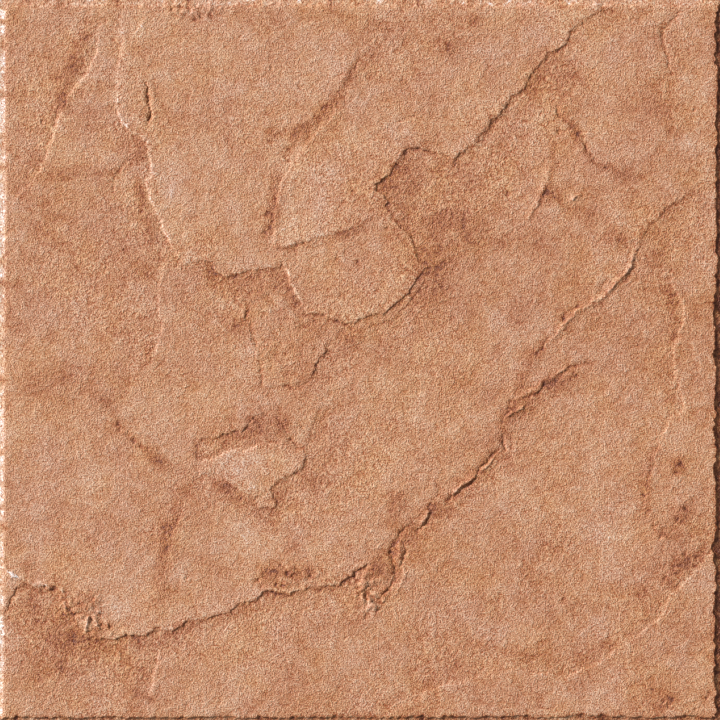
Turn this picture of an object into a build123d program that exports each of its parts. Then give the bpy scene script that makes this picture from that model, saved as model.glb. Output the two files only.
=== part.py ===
from build123d import *
from math import radians, sin, tan
import os

# Porcelain stoneware floor tile with a slate-cleft face, pressed and fired as one piece.
# Frame: origin under the middle of the back, +Z out of the face, +Y towards the far edge.

# Body, in millimetres
SIDE = 330.0  # across the straight foot of the tile
THICKNESS = 8.6  # from the back's ribs to the highest cleft layer
CORNER_R = 1.2  # upright corners of the foot
FOOT_H = 4.4  # height of the straight pressed side
BACK_BEVEL = 0.6  # small bevel round the back

# Broken edge round the face
EDGE_LEDGE = 0.7  # narrowest flat left on top of the foot
EDGE_WANDER = 0.9  # how much further in the ragged line may go
EDGE_STEP = 7.0  # length of one broken facet along the side
EDGE_LEAN = 14.0  # lean of the broken wall, in degrees
CORNER_CUT = 3.0  # how far the ragged line stops short of each corner

# Cleft layers: how far each one rises above the lowest ground of the face
CENTRE_RISE = 0.3
FIELD_RISE = 0.55
MARGIN_RISE = 0.4
CORNER_RISE = 0.5
ISLAND_RISE = 0.85
UPPER_RISE = 1.15
TONGUE_RISE = 1.4
LEDGE_LEAN = 40.0  # lean of the ledges between layers, in degrees

# Keying pattern on the back
POCKET = 22.0  # side of one shallow square pocket
RIB = 4.5  # rib left between two pockets
POCKET_DEPTH = 0.7
POCKET_LEAN = 30.0  # lean of the pocket walls, in degrees
BACK_BORDER = 5.0  # least plain border round the pockets

# The lowest ground of the face lies under the highest layer
GROUND_Z = THICKNESS - max(
    CENTRE_RISE, FIELD_RISE, MARGIN_RISE, CORNER_RISE, ISLAND_RISE, UPPER_RISE, TONGUE_RISE
)

# Layer outlines are drawn on a square sheet of SHEET units laid over the whole tile, with
# u to the right and v down. Each runs clockwise as seen on the face, and goes OVER units
# past the tile where its edge cuts the layer off.
SHEET = 720
OVER = 200
LOW, HIGH = -OVER, SHEET + OVER

CENTRE_OUTLINE = [
    (450, 60), (520, LOW), (HIGH, LOW), (HIGH, 150), (720, 175), (684, 196), (647, 228),
    (632, 262), (596, 300), (557, 333), (563, 373), (537, 392), (511, 405), (503, 430),
    (495, 454), (471, 482), (439, 493), (408, 527), (392, 549), (396, 575), (376, 602),
    (340, 560), (290, 480), (290, 300),
]
FIELD_OUTLINE = [
    (105, LOW), (300, LOW), (300, 290), (341, 322), (332, 339), (318, 362), (309, 384),
    (317, 405), (309, 437), (306, 459), (290, 480), (330, 530), (367, 562), (347, 578),
    (316, 586), (263, 590), (240, 603), (214, 616), (187, 621), (158, 627), (122, 638),
    (87, 636), (76, 616), (57, 586), (19, 587), (0, 602), (LOW, 620), (LOW, 214), (17, 196),
    (34, 182), (47, 153), (61, 113), (85, 75), (96, 41),
]
MARGIN_OUTLINE = [
    (HIGH, 222), (HIGH, 535), (700, 530), (672, 514), (645, 498), (655, 456), (662, 433),
    (684, 407), (673, 372), (673, 347), (681, 329), (681, 304), (670, 278), (676, 257),
    (690, 236),
]
CORNER_OUTLINE = [
    (HIGH, 545), (HIGH, HIGH), (378, HIGH), (405, 702), (439, 687), (503, 668), (566, 676),
    (607, 656), (645, 625), (667, 595), (685, 581), (707, 557),
]
ISLAND_OUTLINE = [
    (200, 464), (230, 450), (269, 442), (297, 447), (299, 460), (288, 471), (276, 481),
    (269, 491), (240, 493), (216, 480),
]
UPPER_OUTLINE = [
    (122, LOW), (608, LOW), (602, 5), (573, 28), (558, 51), (524, 86), (505, 106),
    (485, 135), (456, 158), (413, 149), (395, 168), (376, 188), (388, 211), (411, 243),
    (428, 268), (405, 297), (384, 315), (350, 327), (310, 315), (297, 295), (284, 266),
    (248, 271), (226, 277), (199, 261), (168, 239), (153, 207), (147, 182), (152, 168),
    (147, 142), (124, 126), (117, 99), (122, 47),
]
TONGUE_OUTLINE = [
    (412, LOW), (592, LOW), (583, 0), (563, 26), (548, 45), (514, 79), (494, 99), (474, 126),
    (452, 147), (410, 140), (386, 162), (366, 186), (372, 218), (310, 240), (275, 247),
    (272, 214), (286, 165), (306, 131), (340, 98), (356, 61), (394, 36),
]

LAYERS = [
    (CENTRE_OUTLINE, CENTRE_RISE),
    (FIELD_OUTLINE, FIELD_RISE),
    (MARGIN_OUTLINE, MARGIN_RISE),
    (CORNER_OUTLINE, CORNER_RISE),
    (ISLAND_OUTLINE, ISLAND_RISE),
    (UPPER_OUTLINE, UPPER_RISE),
    (TONGUE_OUTLINE, TONGUE_RISE),
]


def on_tile(u, v):
    """Place of a point of the drawing sheet on the tile, in millimetres."""
    scale = SIDE / SHEET
    return Vector((u - SHEET / 2) * scale, (SHEET / 2 - v) * scale)


def drawn_in(points, distance):
    """A clockwise outline drawn in by a distance on all its sides, with mitred corners."""
    befores = points[-1:] + points[:-1]
    afters = points[1:] + points[:1]
    moved = []
    for before, point, after in zip(befores, points, afters):
        inward = (point - before).normalized().rotate(Axis.Z, -90)
        next_inward = (after - point).normalized().rotate(Axis.Z, -90)
        mitre = (inward + next_inward) / (1 + inward.dot(next_inward))
        moved.append(point + mitre * distance)
    return moved


def flat_section(points, height):
    """Flat face inside a closed line of points, at a height."""
    return Pos(0, 0, height) * make_face(Polyline(points, close=True))


def cleft_layer(outline, rise):
    """One layer of the cleft face, with leaning ledges, standing on the ground level."""
    toe = [on_tile(u, v) for u, v in outline]
    top = drawn_in(toe, rise * tan(radians(LEDGE_LEAN)))
    return loft([flat_section(toe, GROUND_Z), flat_section(top, GROUND_Z + rise)], ruled=True)


def raggedness(k):
    """Uneven share from 0 to 1 for the k-th broken facet, with no pattern to the eye."""
    wave = 0.5 * sin(1.3 * k) + 0.3 * sin(2.9 * k + 1.0) + 0.2 * sin(0.37 * k + 2.0)
    return 0.5 + 0.5 * wave


def broken_section(height):
    """Section of the broken edge at a height: a ragged line along each side in turn."""
    lean = (height - FOOT_H) * tan(radians(EDGE_LEAN))
    reach = SIDE / 2 - EDGE_LEDGE - EDGE_WANDER - CORNER_CUT
    facets = round(2 * reach / EDGE_STEP)
    points = []
    for side in range(4):
        for k in range(facets + 1):
            inset = EDGE_LEDGE + EDGE_WANDER * raggedness(side * facets + k + side) + lean
            point = Vector(-reach + 2 * reach * k / facets, inset - SIDE / 2)
            points.append(point.rotate(Axis.Z, 90 * side))
    return flat_section(points, height)


def foot():
    """Straight lower part of the tile, with a bevel round the back."""
    block = extrude(RectangleRounded(SIDE, SIDE, CORNER_R), amount=FOOT_H)
    return chamfer(block.faces().sort_by(Axis.Z)[0].edges(), BACK_BEVEL)


def cleft_face():
    """Upper part of the tile: ground and layers, trimmed by the leaning broken edge."""
    ground = extrude(Pos(0, 0, FOOT_H) * Rectangle(SIDE, SIDE), amount=GROUND_Z - FOOT_H)
    ground += [cleft_layer(outline, rise) for outline, rise in LAYERS]
    edge = loft([broken_section(FOOT_H), broken_section(THICKNESS)], ruled=True)
    return ground & edge


def back_pockets():
    """Grid of shallow pockets in the back, even in number so that ribs cross in the middle."""
    pitch = POCKET + RIB
    count = 2 * int((SIDE / 2 - BACK_BORDER - RIB / 2 + RIB) // pitch)
    pocket = extrude(Rectangle(POCKET, POCKET), amount=POCKET_DEPTH, taper=POCKET_LEAN)
    return [spot * pocket for spot in GridLocations(pitch, pitch, count, count)]


tile = foot() + cleft_face()
tile -= back_pockets()

os.makedirs("parts", exist_ok=True)
export_step(tile, "parts/tile.step")
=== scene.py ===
import math
from typing import NamedTuple

import bpy
import numpy as np
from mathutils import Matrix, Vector


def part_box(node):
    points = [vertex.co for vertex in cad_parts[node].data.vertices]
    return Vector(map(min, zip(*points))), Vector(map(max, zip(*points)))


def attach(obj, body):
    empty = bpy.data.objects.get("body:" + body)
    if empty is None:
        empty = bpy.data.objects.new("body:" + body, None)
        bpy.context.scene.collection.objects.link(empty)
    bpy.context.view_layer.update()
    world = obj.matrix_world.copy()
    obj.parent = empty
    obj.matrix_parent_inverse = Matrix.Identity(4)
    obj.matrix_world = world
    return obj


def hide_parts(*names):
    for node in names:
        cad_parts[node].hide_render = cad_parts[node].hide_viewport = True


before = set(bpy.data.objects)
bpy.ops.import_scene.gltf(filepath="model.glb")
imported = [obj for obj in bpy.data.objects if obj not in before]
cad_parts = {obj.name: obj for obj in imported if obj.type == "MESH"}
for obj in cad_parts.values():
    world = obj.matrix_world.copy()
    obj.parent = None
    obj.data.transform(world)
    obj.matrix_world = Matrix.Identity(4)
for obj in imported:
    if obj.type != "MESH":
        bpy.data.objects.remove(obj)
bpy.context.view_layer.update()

# Rustic porcelain floor tile with a slate-cleft face, seen from straight above under raking light.
# The face is one height field on a grid that is finer beside the ledges, closed by broken
# edges, a pressed foot and a keyed back. Heights are in millimetres. Places on the face are in
# sheet units: a square sheet of SHEET units lies over the tile, with u to the right and v down.

TILE_LOW, TILE_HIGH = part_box("tile")
MM = 0.001
SHEET = 720
SIDE = (TILE_HIGH.x - TILE_LOW.x) / MM
THICKNESS = TILE_HIGH.z / MM
UNIT = SIDE / SHEET  # millimetres in one sheet unit

# Section of the tile, in millimetres
FACE_Z = 7.75  # mean height of the face
FOOT_H = {"left": 7.4, "right": 7.0, "top": 7.25, "bottom": 7.0}  # top of the foot on each side
FOOT_ROUND = 0.25  # worn upper edge of the foot
ROUND_MIDDLE = 0.3  # share of that edge at which it has its middle ring
FOOT_PAINT_FADE = 0.9  # how far down the foot the painted light and shade of its rounded upper edge fade out
CORNER_R = 1.2  # upright corners of the foot
BACK_BEVEL = 0.6
POCKET = 22.0  # side of a shallow pocket in the back
RIB = 4.5  # between two pockets
POCKET_DEPTH = 0.7
POCKET_SLOPE = 0.42  # how far a pocket's wall leans in
POCKET_ROUND = 2.2  # corner radius of a pocket
FLOOR_BEVEL = (0.3, 0.1)  # width and height of the bevel round a pocket's floor
POCKETS = 12  # pockets along one side of the back

# Grid of the face, with lengths in sheet units
COARSE = 120  # coarse cells along one side
LEVELS = 3  # times that a coarse cell may be halved
EDGE_LEVEL = 2  # level of the cells along the broken edge
DETAIL_REACH = [5.0, 2.6, 1.1]  # how near a line must be for a cell of each level to be halved
FINE_WIDTH = 4  # half width below which a crease needs a fine grid
LINE_MARGIN = 12  # how far round a line distances are worked out
CRUMBLE_GAP = 2.2  # rough crumbs count as this far from a line, and slight ones as twice as far
ROUGH_CRUMBS = 0.3  # height in millimetres above which crumbs are rough
CRUMBLE_RIM = 0.05  # share of their height at which crumbs start to count

NOISE_CELLS = 256  # cells after which a noise repeats

# Differences in place that count as none
TINY = 1e-9
SMALL = 1e-6


class Noise(NamedTuple):
    """Smooth noise from about -amount to amount, with finer and weaker layers on top."""

    amount: float
    size: float  # width of its largest features, in the units of the places
    seed: int
    layers: int = 1

    def at(self, u, v):
        total = np.zeros(np.shape(u))
        for k in range(self.layers):
            total = total + value_noise(u, v, self.size / 2**k, self.seed + k) / 2**k
        return self.amount * total


class Ledge(NamedTuple):
    """A step in the cleft face, walked with the high ground on the right hand."""

    points: list
    rise: list  # (share of the way, step in millimetres)
    step: list = [(0, 1.1)]  # (share of the way, width of the step in sheet units)
    split: float = 1.6  # how far the step may part into two, in sheet units
    stain: float = 0.1  # how brown the low ground beside it is
    line: list = [(0, -0.7)]  # (share of the way, painted light along the step: painted shade at its toe where it is turned from the light or, if positive, a painted highlight on it where it faces the light)


class Crease(NamedTuple):
    """A crack (negative lift) or a raised fold (positive) along a line, fading at its ends."""

    points: list
    lift: float  # millimetres
    width: float = 1.4  # half width, in sheet units


class Stain(NamedTuple):
    """A brown vein in the colour of the face."""

    points: list
    width: float  # half width, in sheet units
    depth: float  # how brown


LEDGES = [
    # Upper plate: its right edge, the round plate below it, then its foot and its left edge
    Ledge(
        [(612, -8), (602, 5), (599, 12), (590, 17), (573, 28), (566, 44), (558, 51), (547, 54), (538, 67),
         (524, 86), (521, 92), (511, 98), (501, 113), (492, 122), (488, 130), (478, 138), (474, 146),
         (467, 149), (459, 155), (454, 161), (448, 158), (440, 154), (430, 153), (422, 150), (408, 149),
         (403, 153), (397, 163), (392, 170), (388, 177), (382, 180), (376, 185), (376, 191), (383, 195),
         (386, 201), (388, 209), (391, 216), (398, 226), (408, 233), (411, 236), (413, 244), (416, 252),
         (420, 262), (427, 268), (421, 274), (414, 284), (407, 294), (399, 301), (390, 308), (384, 313),
         (370, 317), (350, 326), (337, 319), (323, 315), (307, 313), (297, 295), (289, 281), (284, 266),
         (274, 268), (248, 271), (226, 277), (216, 271), (211, 264), (199, 261), (187, 264), (175, 255),
         (168, 239), (159, 217), (153, 207), (147, 186), (152, 172), (150, 156), (147, 142), (130, 130),
         (124, 126), (118, 112), (117, 99), (118, 70), (122, 47), (122, 31), (121, 12)],
        [(0, 0.3), (0.05, 0.36), (0.13, 0.42), (0.23, 0.42), (0.25, 0.3), (0.28, 0.38), (0.33, 0.4),
         (0.36, 0.34), (0.38, 0.28), (0.39, 0.28), (0.4, 0.34), (0.52, 0.34),
         (0.57, 0.4), (0.61, 0.4), (0.625, 0.34), (0.66, 0.4), (0.72, 0.4), (0.76, 0.36),
         (0.88, 0.36), (0.92, 0.26), (0.98, 0.24), (1, 0)],
        step=[(0, 1.0), (0.56, 1.0), (0.575, 1.5), (0.615, 1.5), (0.63, 1.0), (0.72, 1.1), (0.75, 1.6),
              (1, 1.6)],
        stain=0.16,
        line=[(0, -0.7), (0.56, -0.7), (0.575, 0.6), (0.615, 0.6), (0.63, -0.7), (0.7, -0.7),
              (0.76, 0.45), (1, 0.45)],
    ),
    # Second step below the round plate
    Ledge(
        [(430, 274), (425, 280), (421, 288), (416, 294), (409, 303), (402, 311), (396, 317), (386, 321),
         (374, 326), (358, 332)],
        [(0, 0), (0.2, 0.22), (0.8, 0.22), (1, 0)],
    ),
    # Left wedge, rising to the right
    Ledge(
        [(8, 222), (11, 214), (17, 196), (34, 182), (46, 162), (50, 145), (57, 128), (63, 108), (70, 94),
         (82, 79), (92, 67), (96, 54), (99, 38), (103, 18)],
        [(0, 0), (0.15, 0.2), (0.5, 0.27), (0.9, 0.28), (1, 0)],
        step=[(0, 1.6)],
        split=0.8,
        stain=0.14,
        line=[(0, 0.3)],
    ),
    # Long soft rise below the upper plate's left corner
    Ledge(
        [(116, 401), (132, 385), (155, 359), (162, 332), (158, 301), (163, 271), (168, 239)],
        [(0, 0), (0.3, 0.16), (0.8, 0.2), (1, 0.1)],
        step=[(0, 2.4)],
        stain=0.03,
        line=[(0, 0.1)],
    ),
    # Soft edge of the tongue inside the upper plate
    Ledge(
        [(383, 215), (360, 226), (310, 241), (275, 249), (274, 239), (276, 214), (280, 186), (292, 164),
         (314, 137), (338, 108), (352, 88), (362, 64)],
        [(0, 0.1), (0.2, 0.28), (0.35, 0.28), (0.5, 0.26), (0.6, 0.22), (0.85, 0.18), (1, 0)],
        step=[(0, 1.8)],
        stain=0.04,
        line=[(0, -0.7), (0.32, -0.7), (0.4, 0.3), (0.6, 0.1), (1, 0)],
    ),
    # Far side of the valley left of the tongue
    Ledge(
        [(358, 58), (352, 70), (343, 84), (331, 98), (316, 115), (301, 132), (292, 147), (287, 156)],
        [(0, 0.2), (0.25, 0.2), (0.5, 0.12), (1, 0)],
        stain=0.12,
    ),
    Ledge(
        [(277, 166), (271, 180), (268, 196), (268, 212), (265, 226), (263, 240)],
        [(0, 0), (0.3, 0.1), (0.8, 0.12), (1, 0)],
        stain=0.1,
    ),
    # Edge above the bottom strip
    Ledge(
        [(372, 560), (356, 570), (347, 578), (338, 584), (316, 586), (290, 592), (263, 590), (257, 598),
         (240, 603), (230, 612), (199, 618), (187, 621), (170, 630), (158, 627), (147, 635), (129, 633),
         (116, 639), (87, 636), (78, 622), (69, 601), (57, 587), (41, 590), (28, 582), (19, 587), (11, 598),
         (6, 612)],
        [(0, 0.1), (0.03, 0.42), (0.08, 0.36), (0.3, 0.36), (0.5, 0.4), (0.75, 0.43), (0.9, 0.32),
         (1, 0.14)],
    ),
    # Plate along the right edge
    Ledge(
        [(645, 512), (645, 495), (655, 456), (662, 433), (667, 422), (684, 407), (682, 401), (673, 372),
         (673, 347), (678, 336), (682, 318), (682, 307), (679, 299), (670, 284), (669, 276), (672, 262),
         (677, 254), (678, 246)],
        [(0, 0.06), (0.2, 0.2), (0.5, 0.22), (0.8, 0.28), (1, 0)],
        step=[(0, 1.6)],
        split=0.8,
        stain=0.13,
        line=[(0, 0.05), (0.45, 0.1), (0.56, 0.35), (0.63, 0.35), (0.7, 0.1), (0.77, 0.35), (1, 0.1)],
    ),
    # Plate across the lower right corner
    Ledge(
        [(380, 722), (387, 713), (405, 702), (418, 699), (427, 690), (457, 681), (503, 668), (514, 668),
         (566, 676), (587, 667), (607, 656), (615, 647), (641, 632), (645, 625), (656, 618), (664, 606),
         (667, 595), (685, 581), (694, 570), (707, 557), (716, 550)],
        [(0, 0.16), (0.2, 0.2), (0.5, 0.2), (0.8, 0.22), (1, 0.22)],
        step=[(0, 1.4)],
        stain=0.1,
        line=[(0, 0.1), (0.5, 0.1), (0.7, 0.25), (1, 0.3)],
    ),
    # Edge of the plate left of the bottom middle
    Ledge(
        [(164, 626), (170, 606), (171, 586), (169, 562), (172, 540), (180, 520), (189, 498), (195, 476)],
        [(0, 0), (0.35, 0.1), (0.6, 0.22), (0.8, 0.22), (1, 0)],
        step=[(0, 1.8)],
        stain=0.14,
        line=[(0, -0.5), (0.2, -0.3), (0.4, 0.3), (1, 0.3)],
    ),
    # Short rise in the bottom strip
    Ledge(
        [(148, 700), (153, 677), (156, 664), (160, 645)],
        [(0, 0), (0.3, 0.3), (0.8, 0.3), (1, 0)],
        step=[(0, 1.6)],
        split=0.5,
        stain=0.1,
        line=[(0, 0.45)],
    ),
    # Step below the round plate
    Ledge(
        [(346, 326), (332, 339), (323, 347), (326, 351), (318, 362), (310, 379), (308, 388)],
        [(0, 0.05), (0.3, 0.12), (0.45, 0.32), (0.8, 0.3), (1, 0)],
        stain=0.04,
    ),
    # Small island plate
    Ledge(
        [(197, 468), (198, 465), (203, 460), (218, 457), (225, 452), (234, 449), (249, 449), (257, 443),
         (268, 442), (278, 442), (285, 449), (305, 449), (306, 458), (302, 466), (297, 471), (280, 478),
         (271, 488), (260, 494), (250, 496), (241, 491), (227, 482), (216, 473), (200, 475), (197, 468)],
        [(0, 0.2), (0.15, 0.28), (0.4, 0.26), (0.6, 0.3), (0.7, 0.32), (0.85, 0.28), (1, 0.2)],
        split=0.8,
        stain=0.08,
        line=[(0, 0.5), (0.35, 0.5), (0.48, -0.7), (0.85, -0.7), (0.95, 0.5), (1, 0.5)],
    ),
    # Ground above the island
    Ledge(
        [(264, 406), (259, 418), (251, 425), (243, 433), (235, 430), (225, 433), (215, 436), (206, 437),
         (198, 441), (196, 452), (197, 464)],
        [(0, 0), (0.1, 0.26), (0.5, 0.3), (0.8, 0.2), (1, 0.1)],
        split=0.6,
        stain=0.15,
    ),
    # Small flake under the island
    Ledge(
        [(268, 488), (271, 492), (277, 504), (272, 508), (267, 505), (260, 507), (253, 504)],
        [(0, 0), (0.2, 0.36), (0.5, 0.29), (0.8, 0.22), (1, 0)],
        split=0.5,
    ),
    # Edge of the upper ground right of the island
    Ledge(
        [(315, 402), (316, 418), (312, 428), (309, 436), (306, 446)],
        [(0, 0), (0.3, 0.15), (0.8, 0.15), (1, 0.07)],
        stain=0.12,
    ),
    # Lead-in of the long fold
    Ledge(
        [(700, 186), (684, 196), (671, 205), (656, 219), (647, 228), (640, 240), (636, 250)],
        [(0, 0), (0.3, 0.2), (0.8, 0.3), (1, 0.2)],
        stain=0.2,
    ),
]

# Cracks (negative lift) and raised folds
CREASES = [Crease(*row) for row in [
    # Short crack beside the upper plate's left edge, with its lip
    ([(142, 78), (148, 87), (149, 99), (150, 107), (153, 113), (151, 119), (146, 128)], -0.62, 0.8),
    ([(147, 80), (153, 90), (154, 104), (157, 114), (153, 126)], 0.16, 1.1),
    # Small crack beside the left wedge
    ([(59, 110), (55, 122), (50, 134)], -0.3, 1.0),
    # Small marks inside the upper plate
    ([(149, 16), (143, 28), (135, 35)], 0.12, 1.0),
    ([(138, 158), (130, 162), (121, 170), (116, 179), (115, 196)], -0.2, 1.0),
    ([(360, 149), (366, 143), (375, 136), (387, 129), (401, 122), (424, 112)], -0.16, 1.0),
    ([(404, 150), (412, 149), (422, 151), (432, 154), (442, 155), (450, 160), (457, 158)], -0.28, 1.3),
    # Cracks in the upper right
    ([(555, 100), (558, 116), (570, 124), (578, 133), (583, 144), (590, 155), (600, 164)], -0.42),
    ([(549, 160), (547, 176), (543, 188), (537, 202), (525, 224)], 0.3, 2.4),
    ([(552, 164), (550, 178), (546, 190), (538, 206), (528, 224)], -0.14, 1.1),
    ([(569, 202), (574, 197), (580, 194)], 0.4),
    ([(694, 8), (684, 9), (677, 15), (667, 23), (662, 35), (662, 43), (666, 58), (670, 73),
      (677, 83)], -0.36, 1.2),
    ([(630, 208), (641, 207), (652, 208)], -0.1, 1.0),
    # Long fold: a raised lip, a fall on its lower right side, and small cracks along it
    ([(638, 240), (635, 249), (631, 256), (632, 265), (628, 271), (619, 279), (607, 292), (598, 299),
      (590, 304), (582, 307), (575, 312), (569, 320), (563, 327), (556, 335), (546, 345)], 0.42, 1.5),
    ([(638, 249), (635, 257), (635, 267), (630, 275), (621, 283), (609, 296), (600, 303),
      (588, 309)], -0.14),
    ([(606, 278), (602, 285), (599, 295)], -0.23),
    ([(582, 303), (576, 305), (568, 311), (563, 319), (561, 325)], -0.23),
    ([(554, 335), (547, 338), (541, 348), (533, 358)], -0.26),
    ([(640, 232), (632, 233), (622, 234), (620, 238), (623, 243), (627, 250), (628, 259)], -0.16),
    # Long groove: a chain of cracks, with raised lips on their lit side
    ([(598, 365), (586, 362), (572, 367), (556, 380), (545, 385), (535, 394), (525, 397),
      (517, 402)], -0.36),
    ([(570, 364), (554, 376), (543, 381), (533, 390), (523, 394), (513, 400)], 0.3, 1.2),
    ([(542, 387), (537, 391), (530, 396)], 0.41),
    ([(512, 399), (511, 402), (508, 410)], -0.35),
    ([(524, 403), (520, 406), (513, 411), (504, 420)], 0.51),
    ([(516, 402), (509, 412), (504, 420), (502, 428)], -0.27),
    ([(503, 432), (502, 438), (503, 446), (505, 454)], -0.45),
    ([(502, 446), (495, 453), (489, 459), (483, 464), (478, 468), (476, 476), (468, 483),
      (460, 490)], -0.39),
    ([(496, 456), (492, 461), (486, 467), (480, 472)], 0.34),
    ([(479, 472), (470, 479), (463, 485), (451, 495)], 0.51),
    ([(474, 480), (467, 486), (462, 490), (452, 497), (443, 502)], -0.35),
    ([(441, 486), (437, 493), (432, 500), (426, 509)], -0.32),
    ([(429, 509), (427, 514), (420, 524)], 0.61),
    ([(431, 512), (427, 520), (421, 527), (413, 532)], -0.39),
    ([(414, 520), (405, 530), (396, 539), (391, 549), (393, 560), (396, 570), (394, 580), (385, 591),
      (376, 602)], -0.45, 1.6),
    ([(398, 542), (400, 550), (399, 560)], 0.5),
    ([(403, 541), (405, 550), (403, 562), (399, 574)], -0.4, 1.1),
    ([(409, 569), (402, 580), (394, 595)], 0.22),
    ([(596, 372), (560, 390), (530, 404), (512, 424), (506, 452), (484, 478), (458, 499), (434, 515),
      (408, 538), (402, 566), (388, 592), (372, 612)], -0.14, 9),
    # Ragged cracks at the left of the bottom strip
    ([(1, 565), (12, 572), (21, 576), (30, 581), (44, 585), (58, 587)], 0.6, 1.8),
    ([(21, 586), (12, 597), (8, 612)], -0.29),
    ([(39, 591), (50, 586), (60, 587)], -0.23),
    ([(60, 594), (66, 606), (71, 618)], 0.55, 1.8),
    ([(75, 612), (76, 618), (75, 624)], -0.4, 1.0),
    ([(87, 614), (88, 623), (90, 632)], 0.42, 1.1),
    ([(98, 617), (99, 625), (101, 632)], 0.38, 1.1),
    ([(107, 622), (109, 629), (111, 635)], 0.38, 1.1),
    ([(117, 648), (120, 652), (123, 659)], 0.35, 1.2),
    ([(38, 583), (48, 585), (56, 590)], 0.4, 1.2),
    # Rough line down to the island, and the dotted row beside it
    ([(248, 296), (248, 310), (245, 318), (251, 323), (252, 338), (261, 353), (263, 364), (261, 373),
      (264, 386), (260, 395)], -0.28),
    ([(245, 298), (245, 311), (242, 320), (248, 326), (249, 340), (258, 355), (260, 372)], 0.14, 1.1),
    ([(264, 388), (276, 386), (290, 388), (300, 385), (311, 380)], -0.3),
    ([(307, 390), (306, 396), (301, 403)], -0.16),
    # Broken ground round the island
    ([(197, 438), (196, 450), (198, 464)], -0.2),
    ([(204, 453), (201, 461)], -0.16),
    ([(215, 438), (225, 434), (235, 431), (242, 433)], -0.16),
    ([(243, 433), (250, 425), (254, 420), (262, 413)], -0.5),
    ([(248, 434), (252, 429), (258, 422)], -0.16),
    ([(261, 402), (263, 410), (268, 416)], -0.2),
    ([(274, 414), (279, 421), (285, 429), (291, 437), (299, 449)], -0.45, 1.2),
    ([(277, 438), (280, 447)], -0.2),
    # Short marks in the lower field
    ([(345, 666), (341, 684), (334, 696)], -0.09),
    ([(359, 689), (359, 707)], -0.1),
    ([(666, 698), (667, 709)], -0.1),
    ([(117, 423), (130, 433), (144, 447)], -0.09),
    ([(64, 309), (88, 321)], -0.08),
]]
FINE_CREASES = [crease for crease in CREASES if crease.width < FINE_WIDTH]

STAINS = [Stain(*row) for row in [
    # Beside the left wedge and the upper plate's left edge
    ([(99, 20), (88, 46), (76, 70), (63, 96), (54, 124)], 6, 0.46),
    ([(40, 186), (62, 176), (98, 173), (124, 171), (137, 160), (143, 142)], 5, 0.2),
    ([(139, 134), (141, 150), (138, 168)], 5, 0.28),
    ([(132, 172), (141, 196), (150, 220), (161, 250)], 6, 0.28),
    # Valley left of the tongue, and below it
    ([(357, 60), (344, 88), (325, 110), (304, 134), (286, 158)], 6.5, 0.3),
    ([(276, 168), (272, 195), (271, 215), (266, 242)], 4, 0.28),
    ([(264, 247), (300, 243), (335, 238), (368, 227)], 3.5, 0.22),
    # Foot of the upper plate
    ([(188, 264), (215, 276), (248, 276), (284, 270)], 3, 0.16),
    ([(280, 272), (286, 290), (296, 308)], 3.5, 0.26),
    ([(215, 282), (250, 286), (285, 292)], 10, 0.13),
    # Upper edge and upper right
    ([(316, 8), (352, 16), (384, 27), (418, 42)], 4, 0.22),
    ([(556, 102), (566, 122), (580, 142), (598, 162), (645, 182)], 4.5, 0.32),
    ([(549, 140), (551, 158), (546, 196)], 3, 0.22),
    ([(546, 192), (562, 204), (582, 216), (604, 230)], 4, 0.2),
    # Long fold and long groove
    ([(634, 250), (624, 276), (600, 298), (570, 312), (550, 336), (534, 356), (514, 392)], 5, 0.22),
    ([(590, 362), (545, 385), (511, 405), (503, 437), (480, 467), (454, 493), (427, 509), (398, 538),
      (393, 565), (378, 600)], 6, 0.22),
    ([(406, 478), (396, 504), (386, 532)], 7, 0.24),
    # Bottom strip
    ([(8, 598), (28, 606), (52, 630), (80, 646), (112, 652)], 24, 0.2),
    ([(112, 650), (150, 640), (190, 628), (230, 618), (262, 602)], 5, 0.18),
    ([(262, 596), (300, 593), (345, 586)], 4, 0.15),
    ([(262, 588), (268, 572), (284, 565), (300, 572), (302, 586)], 3, 0.3),
    ([(130, 684), (146, 694), (162, 702)], 4, 0.24),
    # Left of the island and round it
    ([(194, 468), (185, 492), (172, 520), (162, 548), (164, 588), (158, 624)], 8, 0.2),
    ([(92, 392), (118, 424), (146, 448), (170, 464), (192, 470)], 4, 0.26),
    ([(200, 456), (224, 444), (250, 436), (266, 416)], 5, 0.12),
    ([(266, 406), (280, 424), (296, 445)], 4, 0.12),
    ([(206, 472), (230, 490), (262, 512), (290, 530)], 6, 0.3),
    ([(156, 334), (148, 356), (139, 376)], 3, 0.22),
    # Right edge and lower right corner
    ([(669, 280), (673, 304), (672, 330), (667, 352)], 3, 0.16),
    ([(670, 378), (671, 406)], 4, 0.28),
    ([(662, 436), (650, 470), (641, 490), (645, 516), (660, 534), (676, 538)], 4, 0.22),
    ([(710, 551), (690, 560), (672, 572), (662, 590)], 7, 0.42),
    ([(662, 590), (654, 604), (640, 624)], 4, 0.16),
    ([(634, 628), (602, 648), (566, 660), (530, 655), (486, 645)], 4, 0.12),
]]

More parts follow.
